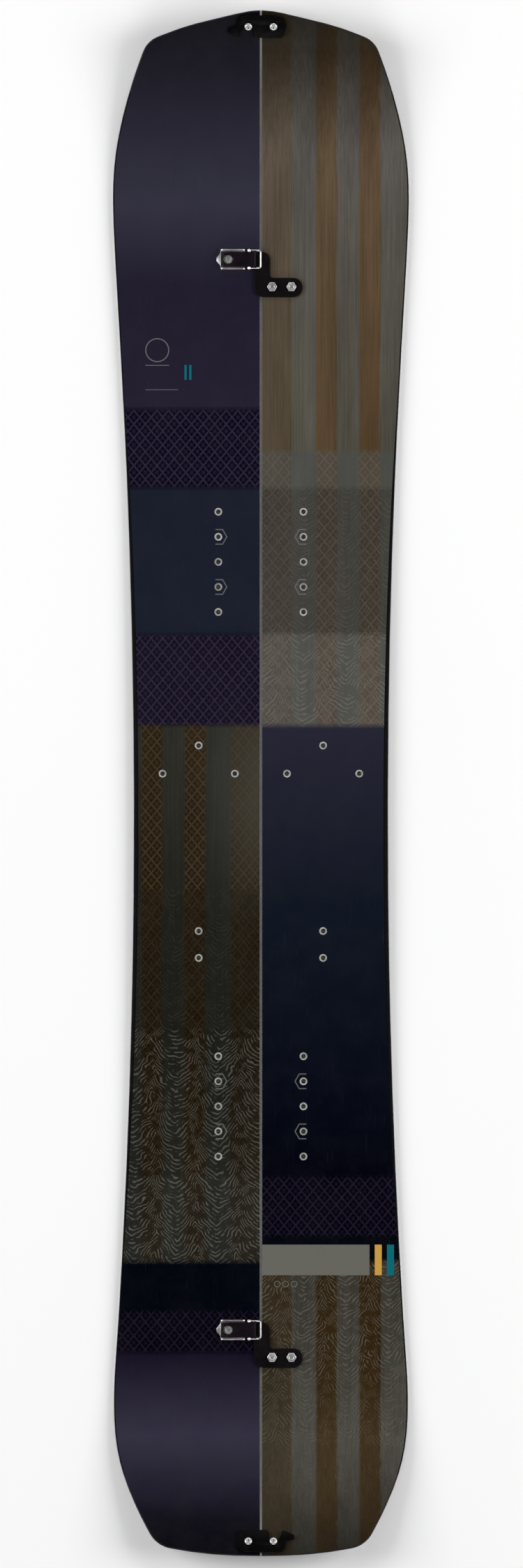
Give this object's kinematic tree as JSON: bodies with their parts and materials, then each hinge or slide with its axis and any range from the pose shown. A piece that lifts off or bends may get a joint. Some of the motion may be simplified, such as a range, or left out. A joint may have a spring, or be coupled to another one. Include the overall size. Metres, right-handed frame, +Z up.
{
  "type": "splitboard",
  "caption": "Snowboard split lengthwise into two touring halves, joined by two lever clips on the seam and a turning latch at each tip, with binding inserts",
  "frame": {"origin": "on the ground under the middle of the board's length and width", "axes": "+Y to the nose, +Z up from the base, +X to the right half"},
  "size_m": [0.3, 1.564, 0.0545],
  "materials": {
    "left_print": "satin clear plastic over a dark navy print",
    "right_print": "satin clear plastic over an olive and grey wood-stripe print",
    "laminate": "glass fibre in resin",
    "core_wood": "sealed poplar strips",
    "tip_fill": "moulded plastic",
    "sidewall": "black, machined",
    "seam_wall": "pale grey, machined",
    "base_plastic": "black, stone ground",
    "edge_steel": "ground steel",
    "insert_steel": "stainless, turned",
    "clip_steel": "stainless, pressed",
    "lever_black": "black anodised, satin",
    "bracket_black": "black anodised, satin",
    "latch_black": "black moulded, satin",
    "washer_black": "black",
    "pin_steel": "polished stainless",
    "screw_steel": "stainless",
    "bolt_steel": "polished stainless"
  },
  "bodies": {
    "left_half": {"left_outer_edge": "edge_steel", "left_inner_edge": "edge_steel", "left_base": "base_plastic", "left_lower_laminate": "laminate", "left_core": "core_wood", "left_outer_sidewall": "sidewall", "left_inner_sidewall": "seam_wall", "left_nose_spacer": "tip_fill", "left_tail_spacer": "tip_fill", "left_upper_laminate": "laminate", "left_topsheet": "left_print", "left_mount_inserts": "insert_steel", "left_clip_inserts": "insert_steel", "front_clip_channel": "clip_steel", "front_clip_screws": "screw_steel", "front_lever_axle": "pin_steel", "rear_clip_channel": "clip_steel", "rear_clip_screws": "screw_steel", "rear_lever_axle": "pin_steel", "nose_post_bolt": "bolt_steel", "nose_post_washer": "washer_black", "tail_pivot_washer": "washer_black"},
    "right_half": {"right_outer_edge": "edge_steel", "right_inner_edge": "edge_steel", "right_base": "base_plastic", "right_lower_laminate": "laminate", "right_core": "core_wood", "right_outer_sidewall": "sidewall", "right_inner_sidewall": "seam_wall", "right_nose_spacer": "tip_fill", "right_tail_spacer": "tip_fill", "right_upper_laminate": "laminate", "right_topsheet": "right_print", "right_mount_inserts": "insert_steel", "right_clip_inserts": "insert_steel", "front_hook_bracket": "bracket_black", "front_bracket_bolts": "bolt_steel", "rear_hook_bracket": "bracket_black", "rear_bracket_bolts": "bolt_steel", "tail_post_bolt": "bolt_steel", "tail_post_washer": "washer_black", "nose_pivot_washer": "washer_black"},
    "nose_pivot": {"nose_pivot_bolt": "bolt_steel"},
    "nose_latch": {"nose_latch": "latch_black"},
    "tail_pivot": {"tail_pivot_bolt": "bolt_steel"},
    "tail_latch": {"tail_latch": "latch_black"},
    "front_lever": {"front_lever": "lever_black"},
    "front_bail_pin": {"front_bail_pin": "pin_steel"},
    "front_bail": {"front_bail": "pin_steel"},
    "rear_lever": {"rear_lever": "lever_black"},
    "rear_bail_pin": {"rear_bail_pin": "pin_steel"},
    "rear_bail": {"rear_bail": "pin_steel"}
  },
  "joints": [
    {"name": "halves_part", "type": "slide", "parent": "left_half", "child": "right_half", "axis": [1, 0, 0], "range_m": [0, 0.03]},
    {"name": "front_lever_lift", "type": "hinge", "parent": "left_half", "child": "front_lever", "pos_m": [-0.0075, 0.531, 0.0134], "axis": [0, 1, 0], "range_deg": [0, 85]},
    {"name": "front_bail_pin_turn", "type": "hinge", "parent": "front_lever", "child": "front_bail_pin", "pos_m": [-0.012, 0.531, 0.0136], "axis": [0, 1, 0], "range_deg": [-86, 0]},
    {"name": "front_bail_swing", "type": "hinge", "parent": "front_bail_pin", "child": "front_bail", "pos_m": [-0.012, 0.531, 0.0136], "axis": [0, 1, 0], "range_deg": [-71, 0]},
    {"name": "rear_lever_lift", "type": "hinge", "parent": "left_half", "child": "rear_lever", "pos_m": [-0.0075, -0.5539, 0.0134], "axis": [0, 1, 0], "range_deg": [0, 85]},
    {"name": "rear_bail_pin_turn", "type": "hinge", "parent": "rear_lever", "child": "rear_bail_pin", "pos_m": [-0.012, -0.5539, 0.0136], "axis": [0, 1, 0], "range_deg": [-86, 0]},
    {"name": "rear_bail_swing", "type": "hinge", "parent": "rear_bail_pin", "child": "rear_bail", "pos_m": [-0.012, -0.5539, 0.0136], "axis": [0, 1, 0], "range_deg": [-71, 0]},
    {"name": "nose_pivot_turn", "type": "hinge", "parent": "right_half", "child": "nose_pivot", "pos_m": [0.0127, 0.767, 0.04685], "axis": [0, -0.3746, 0.9272], "range_deg": [-82, 0]},
    {"name": "nose_latch_turn", "type": "hinge", "parent": "nose_pivot", "child": "nose_latch", "pos_m": [0.0127, 0.767, 0.04685], "axis": [0, -0.3746, 0.9272], "range_deg": [-80, 0]},
    {"name": "tail_pivot_turn", "type": "hinge", "parent": "left_half", "child": "tail_pivot", "pos_m": [-0.0127, -0.7683, 0.04159], "axis": [0, 0.342, 0.9397], "range_deg": [-82, 0]},
    {"name": "tail_latch_turn", "type": "hinge", "parent": "tail_pivot", "child": "tail_latch", "pos_m": [-0.0127, -0.7683, 0.04159], "axis": [0, 0.342, 0.9397], "range_deg": [-80, 0]}
  ],
  "couplings": [
    {"joint": "front_bail_pin_turn", "follows": "front_lever_lift", "ratio": -1},
    {"joint": "front_bail_swing", "follows": "halves_part", "rad_per_m": -40.724},
    {"joint": "rear_bail_pin_turn", "follows": "rear_lever_lift", "ratio": -1},
    {"joint": "rear_bail_swing", "follows": "halves_part", "rad_per_m": -40.724},
    {"joint": "nose_pivot_turn", "follows": "halves_part", "rad_per_m": -47.124},
    {"joint": "tail_pivot_turn", "follows": "halves_part", "rad_per_m": -47.124}
  ]
}
